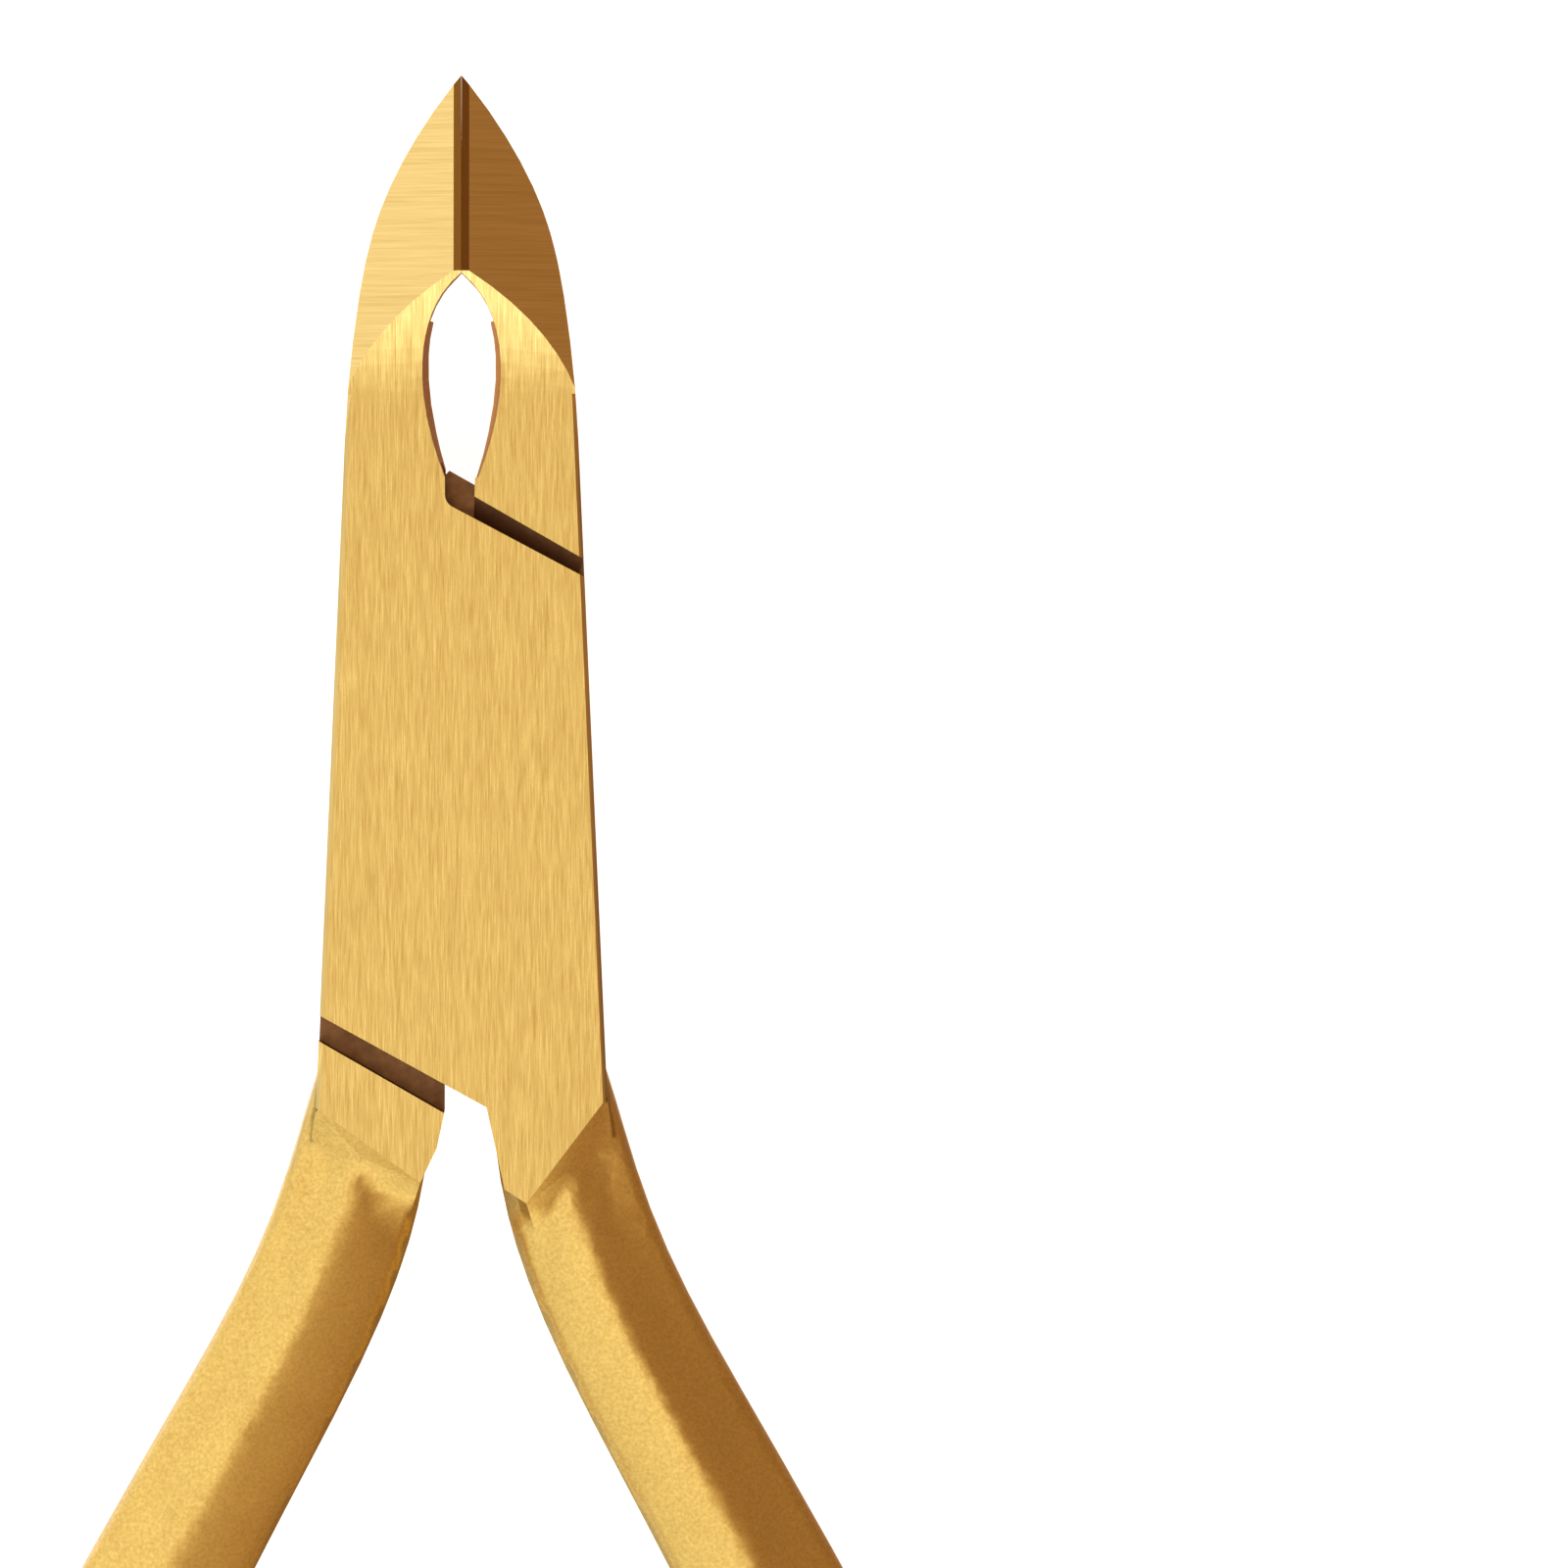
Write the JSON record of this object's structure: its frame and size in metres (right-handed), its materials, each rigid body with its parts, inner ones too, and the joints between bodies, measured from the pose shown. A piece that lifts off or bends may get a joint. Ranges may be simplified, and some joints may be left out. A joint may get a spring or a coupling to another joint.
{
  "type": "cuticle nipper",
  "caption": "Gold-finished cuticle nipper with a box joint, pointed bevel-ground jaws, an almond jaw opening, bowed handles and interlocking leaf springs.",
  "frame": {"origin": "on the pivot axis, at the back face of the box joint, which is the face the nipper lies on", "axes": "+X across the jaws towards the handle of the box half, +Y towards the tip, +Z from the back face to the front face"},
  "size_m": [0.0452, 0.1114, 0.0074],
  "materials": {
    "plated_halves": "gold-plated stainless steel, brushed on the head, ground on the bevels and bead-blasted satin on the handles",
    "spring_steel": "gold-plated spring steel, polished satin"
  },
  "bodies": {
    "box_body": {"box_half": "plated_halves", "pivot_pin": "plated_halves", "box_spring_screw": "spring_steel"},
    "tongue_body": {"tongue_half": "plated_halves", "tongue_spring_screw": "spring_steel"},
    "forked_spring_body": {"forked_spring": "spring_steel"},
    "tongued_spring_body": {"tongued_spring": "spring_steel"}
  },
  "joints": [
    {"name": "jaw_pivot", "type": "hinge", "parent": "box_body", "child": "tongue_body", "pos_m": [0, 0, 0.0029], "axis": [0, 0, -1], "range_deg": [0, 10], "stiffness_Nm_per_rad": 1.2, "springref_deg": 10},
    {"name": "forked_spring_flex", "type": "hinge", "parent": "box_body", "child": "forked_spring_body", "pos_m": [0.01645, -0.06643, 0.0029], "axis": [0, 0, 1], "range_deg": [0, 7.18], "deforming": ["forked_spring"]},
    {"name": "tongued_spring_flex", "type": "hinge", "parent": "tongue_body", "child": "tongued_spring_body", "pos_m": [-0.01645, -0.06643, 0.0029], "axis": [0, 0, -1], "range_deg": [0, 7.18], "deforming": ["tongued_spring"]}
  ],
  "couplings": [
    {"joint": "forked_spring_flex", "follows": "jaw_pivot", "ratio": 0.7128},
    {"joint": "tongued_spring_flex", "follows": "jaw_pivot", "ratio": 0.7128}
  ]
}
